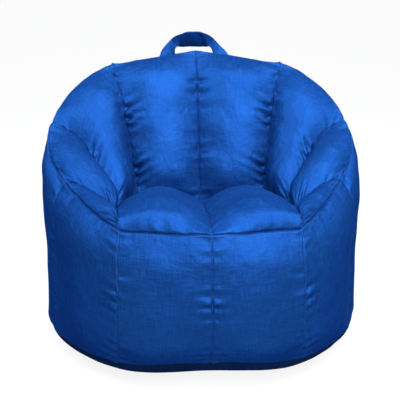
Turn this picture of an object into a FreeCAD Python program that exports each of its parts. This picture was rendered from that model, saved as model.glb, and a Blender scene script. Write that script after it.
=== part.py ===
import FreeCAD, Part
import Sketcher
import math
import os

# Bean bag chair: a satin-like woven cover with a bucket seat, a carrying strap
# behind the backrest and a flat base with a zip.
# Millimetres. +Z is up, the seat opens toward -Y, X runs across the seat.
# The origin is on the floor under the middle of the seat.

os.makedirs("parts", exist_ok=True)
doc = FreeCAD.newDocument("bean_bag_chair")
Vector = FreeCAD.Vector

# ---------------------------------------------------------------- sizes
SIZES = [
    ("cover_half_width", 345, "side seam at the widest row, from the centre plane"),
    ("cover_back", 310, "back centre seam, behind the origin"),
    ("rim_height", 642, "top of the backrest seam"),
    ("seam_rise", 42, "height of the seam round the base"),
    ("cloth_thickness", 1.5, "cover cloth with its seam allowance"),
    ("base_thickness", 2, "doubled base cloth"),
    ("seam_gap", 3.4, "free width between two sewn edges"),
    ("fill_clearance", 1.4, "cover cloth to the fill"),
    ("thread_width", 0.4, "seam thread"),
    ("thread_depth", 0.4, "seam thread"),
    ("thread_rise", 0.0, "top of the thread above the seam line"),
    ("zip_length", 360, "zip opening in the base"),
    ("zip_line", 40, "zip line, behind the origin"),
    ("zip_slot", 12, "slot between the two base halves"),
    ("tape_width", 16, "one zip tape"),
    ("tape_thickness", 0.8, "one zip tape"),
    ("tape_height", 2.4, "underside of the zip tapes"),
    ("tape_gap", 1, "free width between the two tapes"),
    ("chain_width", 5, "closed zip chain"),
    ("chain_depth", 1.1, "closed zip chain"),
    ("chain_height", 1.1, "underside of the zip chain"),
    ("slider_length", 13, "zip slider"),
    ("slider_width", 9, "zip slider"),
    ("slider_depth", 1.8, "zip slider"),
    ("slider_height", 0.2, "underside of the slider"),
    ("slider_channel", 6, "channel for the chain"),
    ("slider_floor", 0.6, "plate under the chain"),
    ("slider_start", -172, "left end of the slider, zip closed"),
    ("stop_length", 3, "zip end stop"),
    ("groove_half", 24, "half width of the hollow above the zip"),
    ("groove_height", 9, "top of the hollow above the zip"),
    ("strap_thickness", 3, "folded strap"),
    ("strap_outer", 84, "half width over the strap legs"),
    ("strap_inner", 46, "half width between the strap legs"),
    ("strap_shoulder", 28, "height where a leg folds inward"),
    ("strap_fold_half", 38, "half width at the upper end of the fold"),
    ("strap_fold", 74, "height at the upper end of the fold"),
    ("strap_top_half", 18, "half width of the crown"),
    ("strap_crown", 83, "height of the crown"),
    ("strap_inner_top", 45, "top of the hand opening"),
    ("strap_inner_fold", 8, "cut corner of the hand opening"),
    ("hinge_back", 281, "line where the strap leaves its sewn ends"),
    ("hinge_height", 600, "line where the strap leaves its sewn ends"),
    ("tab_length", 34, "sewn end of the strap"),
    ("tab_thickness", 2, "sewn end of the strap"),
    ("label_width", 46, "blank care label"),
    ("label_height", 26, "blank care label"),
    ("label_thickness", 0.6, "blank care label"),
]
sheet = doc.addObject("Spreadsheet::Sheet", "sizes")
for row, (alias, value, note) in enumerate(SIZES, start=1):
    sheet.set("A%d" % row, alias)
    sheet.set("B%d" % row, str(value))
    sheet.set("C%d" % row, note)
    sheet.setAlias("B%d" % row, alias)
doc.recompute()


def size(alias):
    """One size out of the sheet, as a plain number."""
    return float(sheet.get(alias))


# ---------------------------------------------------------------- seam rows
# Six stations go round the right half: 0 back centre, 1 back seam, 2 wing seam,
# 3 arm seam, 4 front corner, 5 front centre. Each row is one ring of the cover.
RIM = [(0, 250, 642), (205, 215, 612), (338, 100, 497), (306, -60, 392), (186, -268, 334), (0, -302, 331)]
SHOULDER = [(0, 300, 540), (230, 255, 505), (345, 105, 415), (335, -80, 335),
            (192, -300, 270), (0, -325, 268)]
BELLY = [(0, 310, 270), (240, 255, 260), (344, 105, 240), (336, -85, 215), (192, -305, 180), (0, -328, 180)]
LOW = [(0, 292, 105), (230, 240, 105), (335, 99, 105), (326, -81, 105), (189, -294, 100), (0, -316, 100)]
BASE = [(0, 260, 42), (205, 212, 42), (308, 90, 42), (298, -72, 42), (170, -252, 42), (0, -270, 42)]
FOOT = [(0, 185, 0), (145, 152, 0), (222, 62, 0), (214, -50, 0), (122, -175, 0), (0, -187, 0)]
INNER_HIGH = [(0, 190, 560), (180, 165, 545), (272, 70, 455), (262, -85, 385), (187, -262, 346)]
INNER_LOW = [(0, 115, 400), (155, 100, 400), (214, 5, 372), (212, -125, 362), (187, -257, 352)]
SEAT = [(0, 85, 300), (142, 70, 315), (188, -45, 330), (194, -150, 345), (187, -250, 358)]

# How round a row runs between two stations: 1 follows a smooth ring, 0 a straight
# chord, and a negative value sags inward as a loaded seam does.
ROUND_RIM = [-0.1, 1, 1.35, 0.6, 0]
ROUND_SHOULDER = [1, 1, 1, 0.9, 0.3]
ROUND_BELLY = [1, 1, 1, 1, 0.3]
ROUND_LOW = [1, 1, 1, 1, 1]
ROUND_HIGH = [0.3, 0.9, 0.9, 0.6]
ROUND_DEEP = [0.3, 0.9, 1, 0.8]
ROUND_SEAT = [0.3, 1, 1, 1]

OUTER_ROWS = [
    (RIM, ROUND_RIM), (SHOULDER, ROUND_SHOULDER), (BELLY, ROUND_BELLY),
    (LOW, ROUND_LOW), (BASE, ROUND_LOW),
]
INNER_ROWS = [(RIM, ROUND_RIM), (INNER_HIGH, ROUND_HIGH), (INNER_LOW, ROUND_DEEP), (SEAT, ROUND_SEAT)]

SCALE_X = size("cover_half_width") / 345
SCALE_Y = size("cover_back") / 310
SCALE_Z = size("rim_height") / 642

ACROSS = 7      # poles across a panel
OUTER_STEPS = 13
INNER_STEPS = 10
TRAY_STEPS = 5

# Where the seat panel's side edge passes the wing, arm and front corner seams,
# as shares of the way from the back edge to the front edge.
SEAT_SHARES = [0, 0.3, 0.58, 0.88, 1]
SEAT_RISE = 22


def cubic(before, start, end, after, part):
    """Catmull-Rom point between start and end."""
    square = part * part
    cube = square * part
    return (
        start * 2 + (end - before) * part
        + (before * 2 - start * 5 + end * 4 - after) * square
        + (start * 3 - before - end * 3 + after) * cube
    ) * 0.5


def scaled(point):
    return Vector(point[0] * SCALE_X, point[1] * SCALE_Y, point[2] * SCALE_Z)


def ring_point(row, roundness, station):
    """A point of one row at a station between 0 and its last one."""
    index = min(int(station), len(row) - 2)
    part = station - index
    start = scaled(row[index])
    end = scaled(row[index + 1])
    first = scaled(row[1])
    before = scaled(row[index - 1]) if index else Vector(-first.x, first.y, first.z)
    if index + 2 < len(row):
        after = scaled(row[index + 2])
    elif row[-1][0] == 0:
        after = Vector(-start.x, start.y, start.z)
    else:
        after = end * 2 - start
    chord = start + (end - start) * part
    return chord + (cubic(before, start, end, after, part) - chord) * roundness[index]


def column_point(rows, station, level):
    """A point of the cover between its rows, level 0 being the first row."""
    knots = [ring_point(row, roundness, station) for row, roundness in rows]
    index = min(int(level), len(knots) - 2)
    part = level - index
    before = knots[index - 1] if index else knots[0] * 2 - knots[1]
    after = knots[index + 2] if index + 2 < len(knots) else knots[-1] * 2 - knots[-2]
    return cubic(before, knots[index], knots[index + 1], after, part)


def wall_grid(rows, first, steps):
    """Pole grid of one panel between two stations, rim first."""
    return [
        [column_point(rows, first + across / (ACROSS - 1), down * (len(rows) - 1) / (steps - 1))
         for down in range(steps)]
        for across in range(ACROSS)
    ]


def tray_grid(first):
    """Pole grid of the rounded lower edge, from the base seam to the floor."""
    turn = math.radians(68)
    rise = size("seam_rise") / 42
    grid = []
    for across in range(ACROSS):
        station = first + across / (ACROSS - 1)
        seam = ring_point(BASE, ROUND_LOW, station)
        foot = ring_point(FOOT, ROUND_LOW, station)
        line = []
        for down in range(TRAY_STEPS):
            angle = turn * (1 - down / (TRAY_STEPS - 1))
            out = math.sin(angle) / math.sin(turn)
            lift = (1 - math.cos(angle)) / (1 - math.cos(turn))
            spot = foot + (seam - foot) * out
            line.append(Vector(spot.x, spot.y, seam.z * lift * rise))
        grid.append(line)
    return grid


def seat_share(index, part):
    """Share of the way from back to front, a part of the way along one length."""
    return SEAT_SHARES[index] + (SEAT_SHARES[index + 1] - SEAT_SHARES[index]) * part


def seat_edges():
    """Side edge and centre seam of the right seat panel, in four lengths each."""
    side = []
    for first in (1, 2, 3):
        side.append([ring_point(SEAT, ROUND_SEAT, first + k / (ACROSS - 1)) for k in range(ACROSS)])
    side.append([column_point(INNER_ROWS, 4, 3 - 3 * k / (INNER_STEPS - 1)) for k in range(INNER_STEPS)])
    back = scaled(SEAT[0])
    front = scaled(RIM[5])
    centre = []
    for index in range(4):
        count = len(side[index]) - 1
        line = []
        for k in range(count + 1):
            along = seat_share(index, k / count)
            rise = Vector(0, 0, SEAT_RISE * math.sin(math.pi * along) ** 0.7)
            line.append(back + (front - back) * along + rise)
        centre.append(line)
    return side, centre


def seat_grids():
    """Four pole grids of the right seat panel, joined edge to edge."""
    side, centre = seat_edges()
    back = [ring_point(SEAT, ROUND_SEAT, k / (ACROSS - 1)) for k in range(ACROSS)]
    front = [ring_point(RIM, ROUND_RIM, 5 - k / (ACROSS - 1)) for k in range(ACROSS)]
    grids = []
    for index in range(4):
        count = len(side[index]) - 1
        grid = []
        for a in range(ACROSS):
            u = a / (ACROSS - 1)
            line = []
            for k in range(count + 1):
                v = seat_share(index, k / count)
                rail = centre[index][k] * (1 - u) + side[index][k] * u
                cross = back[a] * (1 - v) + front[a] * v
                corner = (
                    (back[0] * (1 - u) + back[-1] * u) * (1 - v)
                    + (front[0] * (1 - u) + front[-1] * u) * v
                )
                line.append(rail + cross - corner)
            grid.append(line)
        grids.append(grid)
    return grids


# ---------------------------------------------------------------- panels
def crown(part, edge):
    """0 on a seam, 1 past the given share of the way in."""
    near = min(part, 1 - part) / edge
    return math.sin(math.pi / 2 * min(near, 1)) ** 1.35


# name, rows, first station, steps, puff of the lobe, share of the edges, outward sign
WALLS = [
    ("back_lobe", INNER_ROWS, 0, INNER_STEPS, 32, 0.5, 0.26, -1),
    ("wing_lobe", INNER_ROWS, 1, INNER_STEPS, 30, 0.5, 0.28, -1),
    ("arm_upper", INNER_ROWS, 2, INNER_STEPS, 26, 0.5, 0.36, -1),
    ("arm_front", INNER_ROWS, 3, INNER_STEPS, 12, 0.5, 0.5, -1),
    ("rear_centre", OUTER_ROWS, 0, OUTER_STEPS, 16, 0.5, 0.14, 1),
    ("rear_side", OUTER_ROWS, 1, OUTER_STEPS, 18, 0.5, 0.14, 1),
    ("flank_rear", OUTER_ROWS, 2, OUTER_STEPS, 16, 0.5, 0.2, 1),
    ("flank_front", OUTER_ROWS, 3, OUTER_STEPS, 12, 0.5, 0.25, 1),
    ("front", OUTER_ROWS, 4, OUTER_STEPS, 10, 0.5, 0.25, 1),
]
SEAT_PUFF = 42


def mirrored(grid, hand):
    return [[Vector(p.x * hand, p.y, p.z) for p in line] for line in grid]


def key(point):
    return (round(point.x, 2), round(point.y, 2), round(point.z, 2))


def shared_normals(patches):
    """Outward normals at every pole, averaged where panels share a seam."""
    total = {}
    for patch in patches:
        grid = patch["grid"]
        for i in range(len(grid) - 1):
            for j in range(len(grid[0]) - 1):
                corners = (grid[i][j], grid[i + 1][j], grid[i + 1][j + 1], grid[i][j + 1])
                face = unit((corners[2] - corners[0]).cross(corners[3] - corners[1])) * patch["sign"]
                for corner in corners:
                    spot = key(corner)
                    total[spot] = total.get(spot, Vector(0, 0, 0)) + face
        if patch["kind"] == "tray":
            for line in grid:
                spot = key(line[-1])
                total[spot] = total[spot] + Vector(0, 0, -2 * total[spot].Length)
    return total


def unit(vector):
    return vector * (1 / vector.Length) if vector.Length > 1e-9 else Vector(0, 0, 1)


def make_patches():
    """Every patch of the cover with its pole grid and shared normals."""
    patches = []
    for hand, side in ((1, "right"), (-1, "left")):
        for name, rows, first, steps, puff, edge_u, edge_v, sign in WALLS:
            patches.append({
                "name": name + "_" + side, "kind": "wall",
                "grid": mirrored(wall_grid(rows, first, steps), hand),
                "sign": sign * hand, "puff": puff, "edges": (edge_u, edge_v), "span": (0, 1),
                "inset": ("u0", "u1", "v0", "v1"),
            })
        for index, grid in enumerate(seat_grids()):
            inset = ["u0", "u1"]
            inset += ["v0"] if index == 0 else []
            inset += ["v1"] if index == 3 else []
            patches.append({
                "name": "seat_" + side, "kind": "seat", "grid": mirrored(grid, hand),
                "sign": -hand, "puff": SEAT_PUFF, "edges": (0.5, 0.3),
                "span": (SEAT_SHARES[index], SEAT_SHARES[index + 1]), "inset": inset,
            })
        for first in range(5):
            patches.append({
                "name": "tray", "kind": "tray", "grid": mirrored(tray_grid(first), hand),
                "sign": hand, "puff": 0, "edges": (0.5, 0.5), "span": (0, 1), "inset": ["v0"],
            })
    flat = shared_normals(patches)
    for patch in patches:
        grid = patch["grid"]
        wide = len(grid) - 1
        tall = len(grid[0]) - 1
        start, stop = patch["span"]
        for i in range(wide + 1):
            for j in range(tall + 1):
                share = start + (stop - start) * j / tall
                lift = patch["puff"] * crown(i / wide, patch["edges"][0]) * crown(share, patch["edges"][1])
                if lift > 1e-6:
                    grid[i][j] = grid[i][j] + unit(flat[key(grid[i][j])]) * lift
    full = shared_normals(patches)
    for patch in patches:
        patch["normals"] = [[unit(full[key(p)]) for p in line] for line in patch["grid"]]
    return patches


def offset(patch, depth):
    """The pole grid moved inward by a depth."""
    return [
        [p - n * depth for p, n in zip(line, normals)]
        for line, normals in zip(patch["grid"], patch["normals"])
    ]


def inset_grid(grid, sides, amount):
    """The pole grid with its sewn edges drawn back from the seam."""
    result = [list(line) for line in grid]
    last = len(grid) - 1
    end = len(grid[0]) - 1
    for j in range(end + 1):
        if "u0" in sides:
            result[0][j] = result[0][j] + unit(grid[1][j] - grid[0][j]) * amount
        if "u1" in sides:
            result[last][j] = result[last][j] + unit(grid[last - 1][j] - grid[last][j]) * amount
    for i in range(last + 1):
        if "v0" in sides:
            result[i][0] = result[i][0] + unit(grid[i][1] - grid[i][0]) * amount
        if "v1" in sides:
            result[i][end] = result[i][end] + unit(grid[i][end - 1] - grid[i][end]) * amount
    return result


# ---------------------------------------------------------------- spline faces
def clamped(count):
    """Degree, knots and multiplicities of a clamped uniform spline."""
    degree = min(3, count - 1)
    spans = count - degree
    knots = [k / spans for k in range(spans + 1)]
    mults = [degree + 1] + [1] * (spans - 1) + [degree + 1]
    return degree, knots, mults


def spline_surface(grid):
    degree_u, knots_u, mults_u = clamped(len(grid))
    degree_v, knots_v, mults_v = clamped(len(grid[0]))
    surface = Part.BSplineSurface()
    surface.buildFromPolesMultsKnots(
        grid, mults_u, mults_v, knots_u, knots_v, False, False, degree_u, degree_v)
    return surface


def spline_edge(line):
    degree, knots, mults = clamped(len(line))
    curve = Part.BSplineCurve()
    curve.buildFromPolesMultsKnots(line, mults, knots, False, degree)
    return curve.toShape()


def border(grid, side):
    if side == "u0":
        return grid[0]
    if side == "u1":
        return grid[-1]
    if side == "v0":
        return [line[0] for line in grid]
    return [line[-1] for line in grid]


def closed_solid(faces):
    """Faces sewn into one solid, turned so that its volume is positive."""
    shell = Part.Shell(faces)
    shell.sewShape()
    solid = Part.Solid(Part.Shell(shell.Faces))
    if solid.Volume < 0:
        solid.reverse()
    return solid


def cloth_solid(patches, outer_depth, inner_depth, gap):
    """Cloth between two depths: outer faces, inner faces and the cut edges."""
    faces = []
    for patch in patches:
        outer = inset_grid(offset(patch, outer_depth), patch["inset"], gap)
        inner = inset_grid(offset(patch, inner_depth), patch["inset"], gap)
        faces.append(spline_surface(outer).toShape())
        faces.append(spline_surface(inner).toShape())
        for side in patch["inset"]:
            faces.append(spline_surface([border(outer, side), border(inner, side)]).toShape())
    return closed_solid(faces)


def slab(outer, inner):
    """Solid between two pole grids of the same count."""
    faces = [spline_surface(outer).toShape(), spline_surface(inner).toShape()]
    for side in ("u0", "u1", "v0", "v1"):
        faces.append(spline_surface([border(outer, side), border(inner, side)]).toShape())
    return closed_solid(faces)


def add_feature(name, shape):
    """A shape object, named like its file, then placed."""
    feature = doc.addObject("Part::Feature", name)
    feature.Label = name
    feature.Shape = shape
    feature.Placement = FreeCAD.Placement(Vector(0, 0, 0), FreeCAD.Rotation(Vector(0, 0, 1), 0))
    return feature


patches = make_patches()
by_name = {}
for patch in patches:
    by_name.setdefault(patch["name"], []).append(patch)
half_gap = size("seam_gap") / 2
exports = []

for name, group in by_name.items():
    if name != "tray":
        exports.append(add_feature(name, cloth_solid(group, 0, size("cloth_thickness"), half_gap)))


# ---------------------------------------------------------------- base
def foot_level(grid, height):
    """Tray poles with the lowest ring brought to one height."""
    return [line[:-1] + [Vector(line[-1].x, line[-1].y, height)] for line in grid]


def flat_floor(grids):
    """Plane face inside the lowest ring of the tray."""
    edges = [spline_edge([line[-1] for line in grid]) for grid in grids]
    wires = Part.sortEdges(edges)
    return Part.Face(Part.Wire(wires[0]))


trays = by_name["tray"]
outer_trays = [foot_level(inset_grid(p["grid"], ["v0"], half_gap), 0) for p in trays]
inner_trays = []
for patch in trays:
    grid = inset_grid(offset(patch, size("base_thickness")), ["v0"], half_gap)
    inner_trays.append(foot_level(grid, size("base_thickness")))
base_faces = [flat_floor(outer_trays), flat_floor(inner_trays)]
for outer, inner in zip(outer_trays, inner_trays):
    base_faces.append(spline_surface(outer).toShape())
    base_faces.append(spline_surface(inner).toShape())
    base_faces.append(spline_surface([border(outer, "v0"), border(inner, "v0")]).toShape())
base_whole = closed_solid(base_faces)

zip_half = size("zip_length") / 2
slot_half = size("zip_slot") / 2
wide = 800
zip_line = size("zip_line")
slot = Part.makeBox(2 * zip_half, 2 * slot_half, 60, Vector(-zip_half, zip_line - slot_half, -10))
for name, corner in (("base_front", zip_line - wide - half_gap), ("base_rear", zip_line + half_gap)):
    half_space = Part.makeBox(2 * wide, wide, 200, Vector(-wide, corner, -50))
    exports.append(add_feature(name, base_whole.common(half_space).cut(slot)))

# ---------------------------------------------------------------- fill
fill_depth = size("cloth_thickness") + size("fill_clearance")
fill_floor = size("base_thickness") + size("fill_clearance")
fill_faces = []
fill_trays = []
for patch in patches:
    if patch["kind"] == "tray":
        grid = [
            [p - n * (fill_depth + (fill_floor - fill_depth) * k / (TRAY_STEPS - 1))
             for k, (p, n) in enumerate(zip(line, normals))]
            for line, normals in zip(patch["grid"], patch["normals"])
        ]
        grid = foot_level(grid, fill_floor)
        fill_trays.append(grid)
    else:
        grid = offset(patch, fill_depth)
    fill_faces.append(spline_surface(grid).toShape())
fill_faces.append(flat_floor(fill_trays))
groove = Part.makeBox(
    2 * zip_half + 24, 2 * size("groove_half"), size("groove_height") + 10,
    Vector(-zip_half - 12, zip_line - size("groove_half"), -10))
exports.append(add_feature("bead_fill", closed_solid(fill_faces).cut(groove)))


# ---------------------------------------------------------------- seam threads
def thread_bar(line, normals):
    """A flat thread lying in the gap along one seam."""
    half = size("thread_width") / 2
    top = -size("thread_rise")
    low = top + size("thread_depth")
    outer = [[], []]
    inner = [[], []]
    last = len(line) - 1
    for k in range(len(line)):
        along = unit(line[min(k + 1, last)] - line[max(k - 1, 0)])
        normal = normals[k]
        across = unit(along.cross(normal))
        spot = line[k]
        if k == 0:
            spot = spot + along * 6
        if k == last:
            spot = spot - along * 6
        for index, hand in enumerate((-1, 1)):
            outer[index].append(spot + across * half * hand - normal * top)
            inner[index].append(spot + across * half * hand - normal * low)
    return slab(outer, inner)


SEAMS = {
    "rim_threads": [("back_lobe", "v0"), ("wing_lobe", "v0"), ("arm_upper", "v0"), ("arm_front", "v0"),
                    ("front", "v0")],
    "seat_threads": [("back_lobe", "v1"), ("wing_lobe", "v1"), ("arm_upper", "v1"), ("arm_front", "v1"),
                     ("arm_front", "u1")],
    "lobe_threads": [("back_lobe", "u0"), ("back_lobe", "u1"), ("wing_lobe", "u1"), ("arm_upper", "u1")],
    "wall_threads": [("rear_centre", "u0"), ("rear_centre", "u1"), ("rear_side", "u1"),
                     ("flank_rear", "u1"), ("flank_front", "u1"), ("front", "u1")],
    "base_threads": [("rear_centre", "v1"), ("rear_side", "v1"), ("flank_rear", "v1"),
                     ("flank_front", "v1"), ("front", "v1")],
}
CENTRE_SEAMS = (("back_lobe", "u0"), ("rear_centre", "u0"), ("front", "u1"))
for name, seams in SEAMS.items():
    bars = []
    for panel, side in seams:
        for hand in ("right", "left"):
            if hand == "left" and (panel, side) in CENTRE_SEAMS:
                continue
            patch = by_name[panel + "_" + hand][0]
            bars.append(thread_bar(border(patch["grid"], side), border(patch["normals"], side)))
    exports.append(add_feature(name, Part.Compound(bars)))
centre_bars = []
for patch in by_name["seat_right"]:
    centre_bars.append(thread_bar(border(patch["grid"], "u0"), border(patch["normals"], "u0")))
exports.append(add_feature("seat_centre_thread", Part.Compound(centre_bars)))


# ---------------------------------------------------------------- sewn-on patches
def surface_spot(surface, x, z):
    """Parameters of the surface point with the given x and z, by Newton steps."""
    u = 0.5
    v = 0.5
    for _ in range(30):
        point = surface.value(u, v)
        step = 1e-4
        du = (surface.value(min(u + step, 1), v) - surface.value(max(u - step, 0), v))
        dv = (surface.value(u, min(v + step, 1)) - surface.value(u, max(v - step, 0)))
        du = du * (1 / (min(u + step, 1) - max(u - step, 0)))
        dv = dv * (1 / (min(v + step, 1) - max(v - step, 0)))
        miss_x = x - point.x
        miss_z = z - point.z
        det = du.x * dv.z - dv.x * du.z
        u = min(max(u + (miss_x * dv.z - miss_z * dv.x) / det, 0), 1)
        v = min(max(v + (du.x * miss_z - du.z * miss_x) / det, 0), 1)
    return u, v


def lying_patch(panel, centre_x, centre_z, width, height, thickness):
    """A flat piece lying on the outside of a rear panel."""
    patch = by_name[panel][0]
    surface = spline_surface(patch["grid"])
    sign = patch["sign"]
    inner = []
    outer = []
    for a in range(5):
        across = []
        over = []
        for b in range(5):
            x = centre_x + width * (a / 4 - 0.5)
            z = centre_z + height * (0.5 - b / 4)
            u, v = surface_spot(surface, x, z)
            normal = surface.normal(u, v) * sign
            point = surface.value(u, v)
            across.append(point + normal * 0.4)
            over.append(point + normal * (0.4 + thickness))
        inner.append(across)
        outer.append(over)
    return slab(outer, inner)


leg_middle = (size("strap_outer") + size("strap_inner")) / 2
leg_width = size("strap_outer") - size("strap_inner")
tab_middle = size("hinge_height") - 5 - size("tab_length") / 2
for side, hand in (("right", 1), ("left", -1)):
    tab = lying_patch("rear_centre_" + side, leg_middle * hand, tab_middle,
                      leg_width, size("tab_length"), size("tab_thickness"))
    exports.append(add_feature("strap_end_" + side, tab))
label = lying_patch("rear_centre_right", 45, 90, size("label_width"), size("label_height"),
                    size("label_thickness"))
exports.append(add_feature("care_label", label))


# ---------------------------------------------------------------- carrying strap
def origin_plane(body, role):
    for feature in body.Origin.OriginFeatures:
        if feature.Role == role:
            return feature
    return None


strap = doc.addObject("PartDesign::Body", "carry_strap")
strap.Label = "carry_strap"
outline = strap.newObject("Sketcher::SketchObject", "strap_outline")
outline.AttachmentSupport = [(origin_plane(strap, "XZ_Plane"), "")]
outline.MapMode = "FlatFace"
# Each corner as x and height: the first size, less the sizes after it.
OUTER_HALF = [
    (("strap_inner",), ()),
    (("strap_outer",), ()),
    (("strap_outer",), ("strap_shoulder",)),
    (("strap_fold_half",), ("strap_fold",)),
    (("strap_top_half",), ("strap_crown",)),
]
INNER_HALF = [
    (("strap_inner", "strap_inner_fold"), ("strap_inner_top",)),
    (("strap_inner",), ("strap_inner_top", "strap_inner_fold")),
]


def difference(names, hand=1):
    """The first size less the others, times a hand of 1 or -1."""
    values = [size(name) for name in names]
    return hand * (values[0] - sum(values[1:])) if values else 0


def difference_expression(names, hand=1):
    """The same difference as a sheet expression."""
    if not names:
        return "0"
    text = " - ".join("sizes." + name for name in names)
    return text if hand > 0 else "0 - (" + text + ")"


corners = [(x, z, 1) for x, z in OUTER_HALF]
corners += [(x, z, -1) for x, z in reversed(OUTER_HALF)]
corners += [(x, z, -1) for x, z in reversed(INNER_HALF)]
corners += [(x, z, 1) for x, z in INNER_HALF]
points = [Vector(difference(x, hand), difference(z), 0) for x, z, hand in corners]
for index in range(len(points)):
    outline.addGeometry(Part.LineSegment(points[index], points[(index + 1) % len(points)]), False)
for index in range(len(points)):
    following = (index + 1) % len(points)
    outline.addConstraint(Sketcher.Constraint("Coincident", index, 2, following, 1))
for index, (x, z, hand) in enumerate(corners):
    for kind, value, expression in (
        ("DistanceX", points[index].x, difference_expression(x, hand)),
        ("DistanceY", points[index].y, difference_expression(z)),
    ):
        made = outline.addConstraint(Sketcher.Constraint(kind, -1, 1, index, 1, value))
        name = "corner_%d_%s" % (index, kind[-1])
        outline.renameConstraint(made, name)
        outline.setExpression("Constraints." + name, expression)
pad = strap.newObject("PartDesign::Pad", "strap_pad")
pad.Profile = outline
pad.Midplane = True
pad.setExpression("Length", "sizes.strap_thickness")
strap.Tip = pad
strap.setExpression("Placement.Base.y", "sizes.hinge_back")
strap.setExpression("Placement.Base.z", "sizes.hinge_height")
exports.append(strap)


# ---------------------------------------------------------------- zip in the base
def add_box(name, length, width, height, x, y, z):
    """A box whose sizes and place are sheet expressions."""
    box = doc.addObject("Part::Box", name)
    box.Label = name
    box.setExpression("Length", length)
    box.setExpression("Width", width)
    box.setExpression("Height", height)
    box.setExpression("Placement.Base.x", x)
    box.setExpression("Placement.Base.y", y)
    box.setExpression("Placement.Base.z", z)
    return box


TAPE_REACH = "0 - sizes.zip_length / 2 - 8"
exports.append(add_box(
    "zip_tape_front", "sizes.zip_length + 16", "sizes.tape_width", "sizes.tape_thickness",
    TAPE_REACH, "sizes.zip_line - sizes.tape_gap / 2 - sizes.tape_width", "sizes.tape_height"))
exports.append(add_box(
    "zip_tape_rear", "sizes.zip_length + 16", "sizes.tape_width", "sizes.tape_thickness",
    TAPE_REACH, "sizes.zip_line + sizes.tape_gap / 2", "sizes.tape_height"))
exports.append(add_box(
    "zip_chain", "sizes.zip_length - 4 * sizes.stop_length", "sizes.chain_width", "sizes.chain_depth",
    "0 - sizes.zip_length / 2 + 2 * sizes.stop_length", "sizes.zip_line - sizes.chain_width / 2",
    "sizes.chain_height"))
for side, place in (
    ("left", "0 - sizes.zip_length / 2 + 0.5 * sizes.stop_length"),
    ("right", "sizes.zip_length / 2 - 1.5 * sizes.stop_length"),
):
    exports.append(add_box(
        "zip_stop_" + side, "sizes.stop_length", "sizes.slider_channel", "sizes.slider_depth",
        place, "sizes.zip_line - sizes.slider_channel / 2", "sizes.slider_height + 0.3"))

slider_body = add_box(
    "slider_body", "sizes.slider_length", "sizes.slider_width", "sizes.slider_depth",
    "sizes.slider_start", "sizes.zip_line - sizes.slider_width / 2", "sizes.slider_height")
slider_channel = add_box(
    "slider_channel", "sizes.slider_length + 2", "sizes.slider_channel", "sizes.slider_depth",
    "sizes.slider_start - 1", "sizes.zip_line - sizes.slider_channel / 2",
    "sizes.slider_height + sizes.slider_floor")
slider = doc.addObject("Part::Cut", "zip_slider")
slider.Label = "zip_slider"
slider.Base = slider_body
slider.Tool = slider_channel
exports.append(slider)

# ---------------------------------------------------------------- checks and files
doc.recompute()
for item in doc.Objects:
    if "Invalid" in item.State or "Error" in item.State:
        raise RuntimeError(item.Name + " failed: " + ", ".join(item.State))
for item in exports:
    if item.Shape.isNull() or not item.Shape.isValid():
        raise RuntimeError(item.Label + " has no valid shape")
    if item.Shape.Volume <= 0:
        raise RuntimeError(item.Label + " has no volume")
for item in exports:
    item.Shape.exportStep("parts/" + item.Label + ".step")
    box = item.Shape.BoundBox
    print("%-20s %8.0f mm3  x %6.1f %6.1f  y %6.1f %6.1f  z %6.1f %6.1f" % (
        item.Label, item.Shape.Volume, box.XMin, box.XMax, box.YMin, box.YMax, box.ZMin, box.ZMax))
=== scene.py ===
import math
import bpy
import numpy as np
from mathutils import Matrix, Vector


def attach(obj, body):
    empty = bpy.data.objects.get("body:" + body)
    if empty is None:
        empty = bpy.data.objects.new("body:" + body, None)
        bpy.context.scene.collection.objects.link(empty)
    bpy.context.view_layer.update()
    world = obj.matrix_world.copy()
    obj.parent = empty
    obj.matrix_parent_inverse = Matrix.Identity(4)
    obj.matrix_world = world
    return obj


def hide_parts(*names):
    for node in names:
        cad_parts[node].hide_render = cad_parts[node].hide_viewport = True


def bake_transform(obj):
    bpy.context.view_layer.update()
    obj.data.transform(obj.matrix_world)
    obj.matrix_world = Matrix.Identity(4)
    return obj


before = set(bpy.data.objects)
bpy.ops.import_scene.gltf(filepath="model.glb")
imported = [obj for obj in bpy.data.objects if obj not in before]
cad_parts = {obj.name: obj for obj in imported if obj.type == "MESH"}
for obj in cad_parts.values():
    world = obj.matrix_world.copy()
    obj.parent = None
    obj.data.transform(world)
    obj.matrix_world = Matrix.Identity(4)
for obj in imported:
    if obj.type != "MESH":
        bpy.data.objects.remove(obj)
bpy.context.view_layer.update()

RNG_SEED = 7

# ------------------------------------------------------------------ seam rows
# Metres. Six stations go round the right half: 0 back centre, 1 back seam,
# 2 wing seam, 3 arm seam, 4 front corner, 5 front centre.
RIM = [(0, .250, .642), (.209, .215, .612), (.338, .100, .497),
       (.306, -.060, .392), (.186, -.268, .334), (0, -.302, .331)]
SHOULDER = [(0, .300, .540), (.228, .255, .505), (.338, .105, .415),
            (.330, -.080, .335), (.191, -.294, .270), (0, -.320, .268)]
BELLY = [(0, .310, .270), (.234, .255, .260), (.332, .105, .240),
         (.326, -.085, .215), (.192, -.306, .180), (0, -.330, .180)]
LOW = [(0, .294, .105), (.230, .242, .105), (.329, .099, .105),
       (.327, -.083, .105), (.193, -.296, .100), (0, -.316, .100)]
BASE = [(0, .272, .048), (.219, .226, .048), (.332, .094, .048),
        (.328, -.080, .048), (.190, -.266, .048), (0, -.276, .048)]
FOOT = [(0, .200, 0), (.160, .166, 0), (.262, .070, 0),
        (.256, -.060, 0), (.138, -.160, 0), (0, -.165, 0)]
INNER_HIGH = [(0, .190, .560), (.180, .165, .545), (.272, .070, .455),
              (.262, -.085, .385), (.187, -.262, .346)]
INNER_LOW = [(0, .115, .400), (.155, .100, .400), (.214, .005, .372),
             (.212, -.125, .362), (.187, -.257, .352)]
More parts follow.
